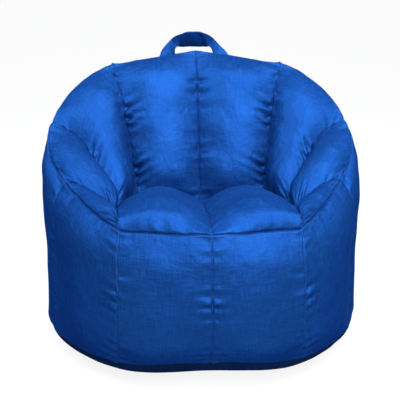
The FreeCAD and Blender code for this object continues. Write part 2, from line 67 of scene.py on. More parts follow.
SEAT = [(0, .085, .300), (.142, .070, .315), (.188, -.045, .330),
        (.194, -.150, .345), (.187, -.250, .358)]
# Roundness between stations: 1 follows a smooth ring, 0 a straight chord, below 0 sags.
RIM_ROUND = [-.1, 1.25, 1.35, .6, 0]
OUTER_ROWS = [(RIM, RIM_ROUND), (SHOULDER, [1, 1, 1, .9, .3]), (BELLY, [1, 1, 1, 1, .3]),
              (LOW, [1] * 5), (BASE, [1] * 5)]
INNER_ROWS = [(RIM, RIM_ROUND), (INNER_HIGH, [.3, .9, .9, .6]),
              (INNER_LOW, [.3, .9, 1, .8]), (SEAT, [.3, 1, 1, 1])]
SEAT_CROWN = .022
SEAT_PUFF = .042
MIRROR = np.array([-1, 1, 1])


def catmull(before, start, end, after, t):
    """Cubic through start and end, with slopes from their neighbours."""
    return 0.5 * (2 * start + (end - before) * t + (2 * before - 5 * start + 4 * end - after) * t ** 2
                  + (3 * start - before - 3 * end + after) * t ** 3)


def ring(row, roundness, stations):
    """Points of one seam row at stations, between its chord and its smooth ring."""
    p = np.array(row, float)
    last = p[-2] * MIRROR if p[-1][0] == 0 else 2 * p[-1] - p[-2]
    p = np.vstack([p[1] * MIRROR, p, last])
    i = np.clip(np.floor(stations).astype(int), 0, len(row) - 2)
    t = (stations - i)[:, None]
    chord = p[i + 1] + (p[i + 2] - p[i + 1]) * t
    smooth = catmull(p[i], p[i + 1], p[i + 2], p[i + 3], t)
    return chord + (smooth - chord) * np.array(roundness, float)[i][:, None]


def wall(rows, stations, levels):
    """Grid of points across stations and down levels, level 0 on the first row."""
    p = np.stack([ring(row, roundness, stations) for row, roundness in rows])
    p = np.concatenate([2 * p[:1] - p[1:2], p, 2 * p[-1:] - p[-2:-1]])
    i = np.clip(np.floor(levels).astype(int), 0, len(rows) - 2)
    t = (levels - i)[:, None, None]
    return catmull(p[i], p[i + 1], p[i + 2], p[i + 3], t).transpose(1, 0, 2)


def seat_surface(across, along):
    """Seat grid blended between its side edge, centre seam, back and front edges."""
    side_knots = np.concatenate([
        ring(*INNER_ROWS[3], np.linspace(1, 4, 61)),
        wall(INNER_ROWS, np.array([4.0]), np.linspace(3, 0, 12))[0][1:]])
    share = np.concatenate([np.linspace(0, .3, 21), np.linspace(.3, .58, 21)[1:],
                            np.linspace(.58, .88, 21)[1:], np.linspace(.88, 1, 12)[1:]])
    side = np.stack([np.interp(along, share, side_knots[:, k]) for k in range(3)], 1)
    back_point = np.array(SEAT[0])
    front_point = np.array(RIM[5])
    centre = back_point + (front_point - back_point) * along[:, None]
    centre[:, 2] += SEAT_CROWN * np.sin(math.pi * along) ** 0.7
    back = ring(*INNER_ROWS[3], across)
    front = ring(*OUTER_ROWS[0], 5 - across)
    u = across[:, None, None]
    v = along[None, :, None]
    rails = centre[None] * (1 - u) + side[None] * u
    cross = back[:, None] * (1 - v) + front[:, None] * v
    corner = ((back[0] * (1 - u) + back[-1] * u) * (1 - v)
              + (front[0] * (1 - u) + front[-1] * u) * v)
    return rails + cross - corner


def crown(t, edge):
    """0 on the seams, rising like a quarter sine to 1 past the given share."""
    return np.sin(math.pi / 2 * np.clip(np.minimum(t, 1 - t) / edge, 0, 1))


def grid_normals(grid, sign):
    """Unit normals of a point grid, from its own slopes."""
    du = np.gradient(grid, axis=0)
    dv = np.gradient(grid, axis=1)
    n = np.cross(du, dv) * sign
    return n / np.maximum(np.linalg.norm(n, axis=2, keepdims=True), 1e-12)


RIPPLE_WAVES = 10
RIPPLE_SPREAD = 3.2
FULL_TURN = 6.283


def ripple(points, size, seed):
    """Smooth noise of about -1 to 1: a sum of sine waves in fixed random directions."""
    rng = np.random.default_rng(seed)
    total = np.zeros(points.shape[:-1])
    for _ in range(RIPPLE_WAVES):
        direction = rng.normal(size=3)
        direction /= np.linalg.norm(direction)
        wave = size * rng.uniform(0.7, 1.5)
        total += np.sin(points @ direction * 2 * math.pi / wave + rng.uniform(0, FULL_TURN))
    return total / RIPPLE_SPREAD


# name, rows, first station, columns, lines, puff in metres, edges, outward sign
PANELS = [
    ("back_lobe", INNER_ROWS, 0, 34, 56, .028, .40, .30, -1),
    ("wing_lobe", INNER_ROWS, 1, 30, 46, .028, .40, .30, -1),
    ("arm_upper", INNER_ROWS, 2, 34, 34, .028, .5, .36, -1),
    ("arm_front", INNER_ROWS, 3, 34, 18, .012, .5, .50, -1),
    ("rear_centre", OUTER_ROWS, 0, 34, 86, .016, .5, .10, 1),
    ("rear_side", OUTER_ROWS, 1, 30, 76, .018, .5, .10, 1),
    ("flank_rear", OUTER_ROWS, 2, 26, 60, .010, .5, .14, 1),
    ("flank_front", OUTER_ROWS, 3, 34, 48, .012, .5, .35, 1),
    ("front", OUTER_ROWS, 4, 28, 42, .010, .5, .40, 1),
]


def cover_grids():
    """Start shape of every cover panel: seam surface plus its puff."""
    grids = {}
    for name, rows, first, columns, lines, puff, edge_u, edge_v, sign in PANELS:
        u = np.linspace(0, 1, columns + 1)
        v = np.linspace(0, 1, lines + 1)
        grid = wall(rows, first + u, v * (len(rows) - 1))
        lift = crown(u, edge_u)[:, None] * crown(v, edge_v)[None]
        grids[name] = (grid + grid_normals(grid, sign) * (puff * lift)[..., None], sign)
    u = np.linspace(0, 1, 29)
    v = np.linspace(0, 1, 57)
    grid = seat_surface(u, v)
    lift = crown(u, .5)[:, None] * crown(v, .3)[None]
    grids["seat"] = (grid + grid_normals(grid, -1) * (SEAT_PUFF * lift)[..., None], -1)
    result = {}
    for name, (grid, sign) in grids.items():
        result[name + "_right"] = (grid, sign)
        result[name + "_left"] = (grid * MIRROR, -sign)
    return result


def grid_faces(columns, lines, sign, start=0):
    """Quads of a grid of points, turned to face along its outward sign."""
    i, j = np.meshgrid(np.arange(columns), np.arange(lines), indexing="ij")
    a = (i * (lines + 1) + j).ravel() + start
    quads = np.stack([a, a + lines + 1, a + lines + 2, a + 1], 1)
    return quads if sign > 0 else quads[:, ::-1]


def make_piece(name, points, quads):
    """Mesh object at the origin, smooth shaded."""
    mesh = bpy.data.meshes.new(name)
    mesh.from_pydata(points.tolist(), [], quads.tolist())
    mesh.polygons.foreach_set("use_smooth", np.ones(len(mesh.polygons), bool))
    mesh.update()
    piece = bpy.data.objects.new(name, mesh)
    bpy.context.scene.collection.objects.link(piece)
    return piece


ZIP_Y = .040
ZIP_STATION = 2.31
ZIP_SLOT = .006
ZIP_REACH = .180
BASE_TURN = math.radians(68)


def base_half(side):
    """Half of the base: down the rounded edge, in across the floor, to the zip slot.

    Columns follow the outline from one end of the zip line to the other."""
    first, last = (ZIP_STATION, 5) if side == "front" else (0, ZIP_STATION)
    half = np.linspace(first, last, 61)
    seam = ring(*OUTER_ROWS[4], half)
    foot = ring(FOOT, [1] * 5, half)
    if side == "front":
        seam, foot = seam[::-1], foot[::-1]
    seam = np.concatenate([seam[::-1] * MIRROR, seam[1:]])
    foot = np.concatenate([foot[::-1] * MIRROR, foot[1:]])
    share = np.linspace(-1, 1, len(seam))
    open_by = (-ZIP_SLOT if side == "front" else ZIP_SLOT) * (1 - share ** 12)
    mouth = np.stack([ZIP_REACH * share, ZIP_Y + open_by, np.zeros(len(share))], 1)
    angle = BASE_TURN * np.linspace(1, 0, 9)
    out = (np.sin(angle) / math.sin(BASE_TURN))[None, :, None]
    lift = ((1 - np.cos(angle)) / (1 - math.cos(BASE_TURN)))[None, :]
    tray = foot[:, None] + (seam - foot)[:, None] * out
    tray[..., 2] = seam[0, 2] * lift
    inward = np.linspace(0, 1, 15)[1:, None]
    floor = foot[:, None] + (mouth - foot)[:, None] * inward[None]
    return np.concatenate([tray, floor], axis=1)


def edge_distance(grid):
    """Distance of each grid point from its four edges, along the grid's own lines."""
    step_u = np.linalg.norm(np.diff(grid, axis=0), axis=2)
    step_v = np.linalg.norm(np.diff(grid, axis=1), axis=2)
    from_u0 = np.concatenate([np.zeros((1, grid.shape[1])), np.cumsum(step_u, axis=0)])
    from_v0 = np.concatenate([np.zeros((grid.shape[0], 1)), np.cumsum(step_v, axis=1)], axis=1)
    return from_u0, from_u0[-1:] - from_u0, from_v0, from_v0[:, -1:] - from_v0


PUCKER_HEIGHT = .0022
PUCKER_FADE = .026
PUCKER_START = .006
PUCKER_WAVES = 6
PUCKER_SPREAD = 2.4
PUCKER_EASE = .05


def seam_puckers(grid, sign, shares):
    """Short folds that run away from each seam and fade within a few centimetres.

    They come and go in patches along the seam. The more spare cloth an edge has,
    the higher its folds: PUCKER_EASE of spare cloth gives the full height."""
    u0, u1, v0, v1 = edge_distance(grid)
    lift = np.zeros(grid.shape[:2])
    for seed, (gap, along) in enumerate(((u0, v0), (u1, v0), (v0, u0), (v1, u0))):
        rng = np.random.default_rng(RNG_SEED + seed)
        fold = np.zeros_like(gap)
        for _ in range(PUCKER_WAVES):
            wave = rng.uniform(.018, .040)
            fold += np.sin(along * 2 * math.pi / wave + rng.uniform(0, FULL_TURN))
        spell = np.sin(along * 2 * math.pi / rng.uniform(.12, .2) + rng.uniform(0, FULL_TURN))
        patch = np.clip(.75 + .6 * spell, .1, 1.4)
        fade = np.exp(-(gap / PUCKER_FADE) ** 1.5)
        lift += (fold / PUCKER_SPREAD * patch * fade * np.clip(gap / PUCKER_START, 0, 1)
                 * shares[seed] / PUCKER_EASE)
    return grid + grid_normals(grid, sign) * (lift * PUCKER_HEIGHT)[..., None]


DRIFT_SHIFT = .0009
DRIFT_SIZE = .07
DRIFT_SEED = 11


def drift(grid):
    """Hand-sewn seams wander a little: a smooth shift that both sides share."""
    shift = np.stack([ripple(grid, DRIFT_SIZE, DRIFT_SEED + k) for k in range(3)], axis=-1) * DRIFT_SHIFT
    return grid + shift * np.clip(grid[..., 2:] / .05, 0, 1)


# Extra cloth in each panel beyond its seams, as a share: in the middle, then at the
# first and last seam across (u) and the first and last seam down (v).
EASE = {"back_lobe": (.022, .055, .105, .02, .05), "wing_lobe": (.022, .05, .065, .02, .05),
        "arm_upper": (.024, .05, .05, .03, .06), "arm_front": (.02, .05, .05, .03, .05),
        "rear_centre": (.010, .04, .05, .01, .03), "rear_side": (.010, .05, .05, .01, .03),
        "flank_rear": (.010, .05, .06, .01, .03), "flank_front": (.006, .065, .05, .02, .03),
        "front": (.002, .05, .06, .012, .02), "seat": (.016, .05, .05, .05, .03), "base": (0, 0, 0, .02, 0)}
EASE_MOST = .11
EASE_REACH = .03
SETTLE_FRAMES = 20
MOST_SHIFT = .026
ON_FLOOR = .0005


def settle_cover(grids):
    """Cloth simulation of the whole cover, sewn seams held, blown out by its fill."""
    points, quads, held, ease, spans = [], [], [], [], {}
    start = 0
    for name, (grid, sign) in grids.items():
        columns, lines = grid.shape[0] - 1, grid.shape[1] - 1
        kind = name.rsplit("_", 1)[0]
        gaps = np.stack(edge_distance(grid))
        gap = gaps.min(axis=0)
        middle = EASE[kind][0]
        seams = np.array(EASE[kind][1:])[:, None, None]
        near_seam = np.exp(-(gaps / EASE_REACH) ** 2)
        ease.append(np.max(middle + (seams - middle) * near_seam, axis=0).ravel())
        edge = gap < 1e-6
        if kind == "base":
            edge |= grid[..., 2] < ON_FLOOR
        held.append(edge.ravel())
        points.append(grid.reshape(-1, 3))
        quads.append(grid_faces(columns, lines, sign, start))
        spans[name] = (start, start + points[-1].shape[0], grid.shape)
        start = spans[name][1]
    points = np.concatenate(points)
    cover = make_piece("cover_settling", points, np.concatenate(quads))
    sewn = cover.vertex_groups.new(name="sewn")
    sewn.add(np.nonzero(np.concatenate(held))[0].tolist(), 1.0, "REPLACE")
    room = cover.vertex_groups.new(name="ease")
    ease = np.round(np.concatenate(ease) / EASE_MOST, 2)
    for value in np.unique(ease):
        room.add(np.nonzero(ease == value)[0].tolist(), float(value), "REPLACE")
    cloth = cover.modifiers.new("settle", "CLOTH")
    settings = cloth.settings
    settings.quality = 6
    settings.mass = .15
    settings.tension_stiffness = settings.compression_stiffness = 15
    settings.shear_stiffness = 5
    settings.bending_stiffness = .4
    settings.vertex_group_mass = "sewn"
    settings.vertex_group_shrink = "ease"
    settings.shrink_min = 0
    settings.shrink_max = -EASE_MOST
    settings.use_pressure = True
    settings.uniform_pressure_force = 4
    settings.effector_weights.gravity = 0
    cloth.collision_settings.use_collision = False
    cloth.point_cache.frame_start = 1
    cloth.point_cache.frame_end = SETTLE_FRAMES
    for number in range(1, SETTLE_FRAMES + 1):
        bpy.context.scene.frame_set(number)
    settled = cover.evaluated_get(bpy.context.evaluated_depsgraph_get()).to_mesh()
    moved = np.empty(len(settled.vertices) * 3)
    settled.vertices.foreach_get("co", moved)
    bpy.context.scene.frame_set(1)
    mesh = cover.data
    bpy.data.objects.remove(cover)
    bpy.data.meshes.remove(mesh)
    shift = moved.reshape(-1, 3) - points
    length = np.linalg.norm(shift, axis=1, keepdims=True)
    points = points + shift * np.minimum(1, MOST_SHIFT / np.maximum(length, 1e-9))
    return {name: (points[low:high].reshape(shape), grids[name][1])
            for name, (low, high, shape) in spans.items()}


def resample(grid, rows, columns):
    """Cubic interpolation of a grid at fractional row and column numbers."""
    for axis, where in ((0, rows), (1, columns)):
        grid = np.moveaxis(grid, axis, 0)
        p = np.concatenate([2 * grid[:1] - grid[1:2], grid, 2 * grid[-1:] - grid[-2:-1]])
        i = np.clip(np.floor(where).astype(int), 0, len(grid) - 2)
        t = (where - i)[:, None, None]
        grid = np.moveaxis(catmull(p[i], p[i + 1], p[i + 2], p[i + 3], t), 0, axis)
    return grid


def fine_numbers(count):
    """Half steps across a grid, with closer ones beside both edges for the seam."""
    near = np.array([0, .1, .22, .36, .52, .75])
    return np.concatenate([near, np.arange(1, count - .75, .5), count - near[::-1]])


SEAM_DEPTH = .0014
SEAM_WIDTH = .0017
RIM_DEPTH = .0036
RIM_WIDTH = .0024
SEAM_REACH = .004
CLOTH = .0012
BASE_CLOTH_THICKNESS = .002
FILL_DEPTH = .016
FILL_VOXEL = .008
SINK_DEPTH = .022
SINK_RADIUS = .028
# Corners where four panels meet and loose beads settle away from the cloth:
# the front ends of the arms and the tops of the wing seams.
FILL_SINKS = [(.187, -.256, .350), (.202, .212, .604)]


def edge_normals(grids):
    """Normals along every panel edge, averaged with those of the panel sewn to it."""
    spots, normals = [], []
    for grid, sign in grids.values():
        n = grid_normals(grid, sign)
        for side in (np.s_[0], np.s_[-1], np.s_[:, 0], np.s_[:, -1]):
            spots.append(grid[side])
            normals.append(n[side])
    return np.concatenate(spots), np.concatenate(normals)


def shared_edge(line, spots, normals):
    """Mean normal of all panel edges near each point of one edge."""
    result = np.empty_like(line)
    for start in range(0, len(line), 64):
        part = line[start:start + 64]
        far = np.linalg.norm(part[:, None] - spots[None], axis=2)
        weight = np.exp(-(far / SEAM_REACH) ** 2)
        mean = weight @ normals
        result[start:start + 64] = mean / np.linalg.norm(mean, axis=1, keepdims=True)
    return result


def sewn_in(grid, spots, normals, rim_edge):
    """The cloth turned in beside its seams: a narrow groove along all four edges,
    deeper along the rim, where the cloth folds back on itself."""
    gaps = edge_distance(grid)
    lines = (grid[0], grid[-1], grid[:, 0], grid[:, -1])
    total = np.zeros_like(grid)
    weights = np.zeros(grid.shape[:2])
    for index, (gap, line) in enumerate(zip(gaps, lines)):
        depth, width = (RIM_DEPTH, RIM_WIDTH) if index == rim_edge else (SEAM_DEPTH, SEAM_WIDTH)
        weight = np.exp(-(gap / width) ** 2)
        shared = shared_edge(line, spots, normals)
        shared = shared[None] if index < 2 else shared[:, None]
        total += weight[..., None] * shared * depth
        weights += weight
    return grid - total / np.maximum(weights, 1)[..., None]


def cloth_shell(name, grid, sign, thickness):
    """Closed cloth piece: the outer grid, the same grid moved in, and four edge strips."""
    rows, columns = grid.shape[:2]
    inner = grid - grid_normals(grid, sign) * thickness
    points = np.concatenate([grid.reshape(-1, 3), inner.reshape(-1, 3)])
    outside = grid_faces(rows - 1, columns - 1, sign)
    count = rows * columns
    number = np.arange(count).reshape(rows, columns)
    loop = np.concatenate([number[:-1, 0], number[-1, :-1], number[:0:-1, -1], number[0, :0:-1]])
    after = np.roll(loop, -1)
    strip = np.stack([loop, loop + count, after + count, after], 1)
    strip = strip if sign > 0 else strip[:, ::-1]
    quads = np.concatenate([outside, outside[:, ::-1] + count, strip])
    piece = make_piece(name, points, quads)
    u0, _, v0, _ = edge_distance(grid)
    chart = np.stack([u0 - u0[-1:] / 2, v0], -1).reshape(-1, 2)
    chart = np.concatenate([chart, chart])
    layer = piece.data.uv_layers.new(name="cut")
    layer.data.foreach_set("uv", chart[quads.ravel()].ravel())
    return piece


def keep(piece, body, slot, *nodes):
    """The piece rides on a body and stands for its CAD nodes. The slot argument is not used."""
    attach(piece, body)
    if nodes:
        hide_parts(*nodes)
    return piece


# ------------------------------------------------------------------ materials
def linear(code):
    """sRGB hex to linear RGBA."""
    parts = [int(code[k:k + 2], 16) / 255 for k in (1, 3, 5)]
    return [p / 12.92 if p <= .04045 else ((p + .055) / 1.055) ** 2.4 for p in parts] + [1.0]


def new_material(name):
    """A node material, its tree and its shader."""
    material = bpy.data.materials.new(name)
    material.use_nodes = True
    return material, material.node_tree, material.node_tree.nodes["Principled BSDF"]


def add_node(tree, kind, settings=None, links=None, values=None):
    """A node with its properties, its incoming links and its socket values."""
    node = tree.nodes.new(kind)
    for key, value in (settings or {}).items():
        setattr(node, key, value)
    for key, value in (values or {}).items():
        node.inputs[key].default_value = value
    for key, socket in (links or {}).items():
        tree.links.new(socket, node.inputs[key])
    return node


def ramp(tree, socket, stops):
    """Colour ramp with (position, hex) stops."""
    node = add_node(tree, "ShaderNodeValToRGB", links={"Fac": socket})
    for element, (position, code) in zip(node.color_ramp.elements, (stops[0], stops[-1])):
        element.position = position
        element.color = linear(code)
    for position, code in stops[1:-1]:
        node.color_ramp.elements.new(position).color = linear(code)
    return node.outputs["Color"]


# The real threads lie about 0.1 mm apart, too fine to show, so the weave is drawn
# at 1.1 mm, which reads as a faint cross grain.
THREAD_MM = 1.1


def woven_cloth(name, dark, middle, light, roughness, sheen, gloss, crumple):
    """Woven cloth: soft shade drift, slubs along both thread directions and a fine weave."""
    material, tree, shader = new_material(name)
    chart = add_node(tree, "ShaderNodeUVMap", {"uv_map": "cut"}).outputs["UV"]
    place = add_node(tree, "ShaderNodeTexCoord").outputs["Object"]
    drift_noise = add_node(tree, "ShaderNodeTexNoise", links={"Vector": place},
                           values={"Scale": 9, "Detail": 3, "Roughness": .55}).outputs["Fac"]
    slubs = []
    for stretch in ((28, 420, 1), (420, 28, 1)):
        turned = add_node(tree, "ShaderNodeMapping", links={"Vector": chart})
        turned.inputs["Scale"].default_value = stretch
        slubs.append(add_node(tree, "ShaderNodeTexNoise", {"noise_dimensions": "2D"},
                              {"Vector": turned.outputs["Vector"]},
                              {"Scale": 1, "Detail": 2, "Roughness": .6}).outputs["Fac"])
    both = add_node(tree, "ShaderNodeMath", {"operation": "ADD"}, {0: slubs[0], 1: slubs[1]}).outputs[0]
    slow = add_node(tree, "ShaderNodeMath", {"operation": "MULTIPLY"}, {0: drift_noise}, {1: .4}).outputs[0]
    slub = add_node(tree, "ShaderNodeMath", {"operation": "MULTIPLY_ADD"}, {0: both, 2: slow},
                    {1: .5}).outputs[0]
    tree.links.new(ramp(tree, slub, [(.4, dark), (.7, middle), (1, light)]),
                   shader.inputs["Base Color"])
    weave = []
    for direction in ("X", "Y"):
        wave = add_node(tree, "ShaderNodeTexWave", {"bands_direction": direction}, {"Vector": chart},
                        {"Scale": 1000 / (THREAD_MM * 2 * math.pi) * .5, "Distortion": 1.2,
                         "Detail": 1})
        weave.append(wave.outputs["Fac"])
    cross = add_node(tree, "ShaderNodeMath", {"operation": "MULTIPLY"},
                     {0: weave[0], 1: weave[1]}).outputs[0]
    folds = add_node(tree, "ShaderNodeTexNoise", links={"Vector": place},
                     values={"Scale": 38, "Detail": 2, "Roughness": .5, "Distortion": .6}).outputs["Fac"]
    soft = add_node(tree, "ShaderNodeBump", links={"Height": folds},
                    values={"Strength": crumple, "Distance": .004}).outputs["Normal"]
    fine = add_node(tree, "ShaderNodeBump", links={"Height": cross, "Normal": soft},
                    values={"Strength": .12, "Distance": .0003}).outputs["Normal"]
    tree.links.new(fine, shader.inputs["Normal"])
    worn = add_node(tree, "ShaderNodeMapRange", links={"Value": both},
                    values={"From Min": .7, "From Max": 1.3,
                            "To Min": roughness - .05, "To Max": roughness + .06})
    tree.links.new(worn.outputs["Result"], shader.inputs["Roughness"])
    shader.inputs["Metallic"].default_value = gloss
    shader.inputs["Sheen Weight"].default_value = sheen
    shader.inputs["Sheen Roughness"].default_value = .4
    shader.inputs["Sheen Tint"].default_value = linear(light)
    shader.inputs["Specular Tint"].default_value = linear(light)
    shader.inputs["Specular IOR Level"].default_value = 0
    return material


# Polyester satin: filament yarn floats that lie close and shine, so lobes turn
# quickly from deep to bright blue.
SATIN = woven_cloth("polyester_satin", "#0b2b60", "#103876", "#16458a", .52, 0, .55, crumple=.5)
# Plain woven polyester on the base: the same yarn with less shine. Its darker blue is painted shade for the
# underside, which curves in away from the light.
PAINTED_SHADE_BASE_CLOTH = woven_cloth("plain_polyester_painted_shade", "#07152c", "#0a1e40", "#0e2750", .65, 0, .1, crumple=.35)
# The same satin folded over itself for the strap: a little lighter and flatter.
STRAP_CLOTH = woven_cloth("folded_satin", "#0c2f68", "#113a79", "#15448a", .5, 0, .55, crumple=.25)


def thread_material():
    """Spun polyester thread: plied, matt, with fine turns along each stitch."""
    material, tree, shader = new_material("spun_polyester_thread")
    place = add_node(tree, "ShaderNodeTexCoord").outputs["Object"]
    turns = add_node(tree, "ShaderNodeTexNoise", links={"Vector": place},
                     values={"Scale": 900, "Detail": 2}).outputs["Fac"]
    tree.links.new(ramp(tree, turns, [(.35, "#0d3a88"), (.65, "#1a56b8")]), shader.inputs["Base Color"])
    bump = add_node(tree, "ShaderNodeBump", links={"Height": turns},
                    values={"Strength": .4, "Distance": .0002})
    tree.links.new(bump.outputs["Normal"], shader.inputs["Normal"])
    shader.inputs["Roughness"].default_value = .7
    return material


THREAD = thread_material()


def noise_plastic(name, low, high, scale, roughness, metallic, strength):
    """Moulded or cast surface with a faint grain."""
    material, tree, shader = new_material(name)
    place = add_node(tree, "ShaderNodeTexCoord").outputs["Object"]
    grain = add_node(tree, "ShaderNodeTexNoise", links={"Vector": place},
                     values={"Scale": scale, "Detail": 3}).outputs["Fac"]
    tree.links.new(ramp(tree, grain, [(.3, low), (.7, high)]), shader.inputs["Base Color"])
    bump = add_node(tree, "ShaderNodeBump", links={"Height": grain},
                    values={"Strength": strength, "Distance": .0003})
    tree.links.new(bump.outputs["Normal"], shader.inputs["Normal"])
    shader.inputs["Roughness"].default_value = roughness
    shader.inputs["Metallic"].default_value = metallic
    return material


# Nylon coil: drawn monofilament, smooth with a dull shine.
NYLON = noise_plastic("nylon_coil", "#12356e", "#1a4790", 400, .38, 0, .1)
# Die-cast zinc alloy: pressed in a mould and tumbled, a grey satin metal.
ZINC = noise_plastic("die_cast_zinc", "#8b8d90", "#a6a8ab", 600, .36, 1, .15)
# Blank damask label: white satin-edged ribbon.
LABEL_CLOTH = woven_cloth("damask_label", "#dcdcda", "#e8e8e6", "#f2f2f0", .6, .1, 0, crumple=.1)


def bead_material():
    """Expanded polystyrene: white beads pressed together, matt, with painted shade in the gaps between
    them.
    """
    material, tree, shader = new_material("expanded_polystyrene")
    place = add_node(tree, "ShaderNodeTexCoord").outputs["Object"]
    cells = add_node(tree, "ShaderNodeTexVoronoi", links={"Vector": place},
                     values={"Scale": 220}).outputs["Distance"]
    tree.links.new(ramp(tree, cells, [(.3, "#f4f5f5"), (.75, "#cfd3d6")]), shader.inputs["Base Color"])
    bump = add_node(tree, "ShaderNodeBump", {"invert": True}, {"Height": cells},
                    {"Strength": .9, "Distance": .003})
    tree.links.new(bump.outputs["Normal"], shader.inputs["Normal"])
    shader.inputs["Roughness"].default_value = .8
    return material


BEADS = bead_material()

# ------------------------------------------------------------------ cover
start_grids = {}
for name, (grid, sign) in cover_grids().items():
    start_grids[name] = (seam_puckers(drift(grid), sign, EASE[name.rsplit("_", 1)[0]][1:]), sign)
for side in ("front", "rear"):
    grid = drift(base_half(side))
    outward = 1 if grid_normals(grid, 1)[len(grid) // 2, -6, 2] < 0 else -1
    start_grids["base_" + side] = (grid, outward)
grids = settle_cover(start_grids)
final = {}
for name, (grid, sign) in grids.items():
    final[name] = (resample(grid, fine_numbers(grid.shape[0] - 1), fine_numbers(grid.shape[1] - 1)), sign)
spots, normals = edge_normals(final)
for name, (grid, sign) in final.items():
    base = name.startswith("base_")
    shaped = grid if base else sewn_in(grid, spots, normals, 3 if name.startswith("seat") else 2)
    piece = cloth_shell(name + "_cloth", shaped, sign, BASE_CLOTH_THICKNESS if base else CLOTH)
    piece.data.materials.append(PAINTED_SHADE_BASE_CLOTH if base else SATIN)
    keep(piece, "cover", "base_cloth" if base else "cover_cloth", name)

# ------------------------------------------------------------------ fill
def bead_mass(grids):
    """Loose beads pressed against the cover: the settled skin moved in along its normals,
    closed by voxels, with shallow lumps."""
    edge_spots, edge_ways = edge_normals(grids)
    points, quads, start = [], [], 0
    for grid, sign in grids.values():
        way = grid_normals(grid, sign)
        for side in (np.s_[0], np.s_[-1], np.s_[:, 0], np.s_[:, -1]):
            way[side] = shared_edge(grid[side], edge_spots, edge_ways)
        points.append((grid - way * FILL_DEPTH).reshape(-1, 3))
        quads.append(grid_faces(grid.shape[0] - 1, grid.shape[1] - 1, sign, start))
        start += points[-1].shape[0]
    mass = make_piece("bead_mass", np.concatenate(points), np.concatenate(quads))
    weld = mass.modifiers.new("close", "WELD")
    weld.merge_threshold = .002
    block = mass.modifiers.new("pack", "REMESH")
    block.mode = "VOXEL"
    block.voxel_size = FILL_VOXEL
    graph = bpy.context.evaluated_depsgraph_get()
    finished = bpy.data.meshes.new_from_object(mass.evaluated_get(graph))
    mass.modifiers.clear()
    mass.data = finished
    spots = np.empty(len(finished.vertices) * 3)
    finished.vertices.foreach_get("co", spots)
    spots = spots.reshape(-1, 3)
    out = np.empty(len(finished.vertices) * 3)
    finished.vertex_normals.foreach_get("vector", out)
    spots -= out.reshape(-1, 3) * (.0008 * (1 + ripple(spots, .012, 5)))[:, None]
    for place in FILL_SINKS:
        corner = np.abs(spots) * [1, 0, 0] + spots * [0, 1, 1] - place
        spots[:, 2] -= SINK_DEPTH * np.exp(-(corner ** 2).sum(axis=1) / SINK_RADIUS ** 2)
    finished.vertices.foreach_set("co", spots.ravel())
    finished.polygons.foreach_set("use_smooth", np.ones(len(finished.polygons), bool))
    finished.update()
    finished.materials.append(BEADS)
    keep(mass, "cover", "beads", "bead_fill")


bead_mass(grids)


# ------------------------------------------------------------------ stitches
BAR_RINGS = 6
BAR_SIDES = 6
BAR_POINTS = BAR_RINGS * BAR_SIDES
BAR_TURN = np.arange(BAR_SIDES) * math.pi / 3


def bar_faces(count):
    """Faces of closed bars of six rings with six sides: the quads, first caps and last caps."""
    i, j, k = np.meshgrid(np.arange(count), np.arange(BAR_RINGS - 1), np.arange(BAR_SIDES), indexing="ij")
    a = i * BAR_POINTS + j * BAR_SIDES + k
    b = i * BAR_POINTS + j * BAR_SIDES + (k + 1) % BAR_SIDES
    quads = np.stack([a, b, b + BAR_SIDES, a + BAR_SIDES], -1)
    start = np.arange(count)[:, None] * BAR_POINTS
    around = np.arange(BAR_SIDES)[None]
    return quads, start + around[:, ::-1], start + BAR_POINTS - BAR_SIDES + around


def bar_piece(name, points, quads, first, last, smooth):
    """Mesh object of bars from their points, quads and caps."""
    mesh = bpy.data.meshes.new(name)
    faces = quads.reshape(-1, 4).tolist() + first.tolist() + last.tolist()
    mesh.from_pydata(points.reshape(-1, 3).tolist(), [], faces)
    mesh.polygons.foreach_set("use_smooth", np.full(len(mesh.polygons), smooth))
    mesh.update()
    piece = bpy.data.objects.new(name, mesh)
    bpy.context.scene.collection.objects.link(piece)
    return piece


def stitched_row(name, lines, nodes):
    """Lockstitches along seam lines: short rounded bars, 3.4 mm long every 4.2 mm.

    Each bar is a profile of rings along its own length, thick in the middle."""
    pitch, length, radius = .0042, .0034, .0003
    shape = np.array([(-.5, .05), (-.42, .75), (-.2, 1), (.2, 1), (.42, .75), (.5, .05)])
    centres, alongs, ups = [], [], []
    for line, up in lines:
        step = np.linalg.norm(np.diff(line, axis=0), axis=1)
        run = np.concatenate([[0], np.cumsum(step)])
        at = np.arange(pitch, run[-1] - pitch, pitch)
        centre = np.stack([np.interp(at, run, line[:, k]) for k in range(3)], 1)
        ahead = np.stack([np.interp(at + .001, run, line[:, k]) for k in range(3)], 1)
        centres.append(centre)
        alongs.append(ahead - centre)
        ups.append(np.stack([np.interp(at, run, up[:, k]) for k in range(3)], 1))
    centre, along, up = (np.concatenate(part) for part in (centres, alongs, ups))
    along /= np.linalg.norm(along, axis=1, keepdims=True)
    side = np.cross(along, up)
    side /= np.linalg.norm(side, axis=1, keepdims=True)
    up = np.cross(side, along)
    around = (side[:, None, None] * np.cos(BAR_TURN)[None, None, :, None]
              + up[:, None, None] * np.sin(BAR_TURN)[None, None, :, None])
    ring_offset = around * (radius * shape[:, 1])[None, :, None, None]
    ring_place = along[:, None, None] * (length * shape[:, 0])[None, :, None, None]
    points = centre[:, None, None] + ring_place + ring_offset
    row = bar_piece(name, points, *bar_faces(len(centre)), smooth=True)
    row.data.materials.append(THREAD)
    keep(row, "cover", "thread", *nodes)


def seam_line(panel, side):
    """Bottom of the groove along one edge of a finished panel, and its outward normals."""
    grid, sign = final[panel]
    pick = {"u0": np.s_[0], "u1": np.s_[-1], "v0": np.s_[:, 0], "v1": np.s_[:, -1]}[side]
    up = shared_edge(grid[pick], spots, normals)
    depth = RIM_DEPTH if side == "v0" else SEAM_DEPTH
    return grid[pick] - up * (depth - .0002), up


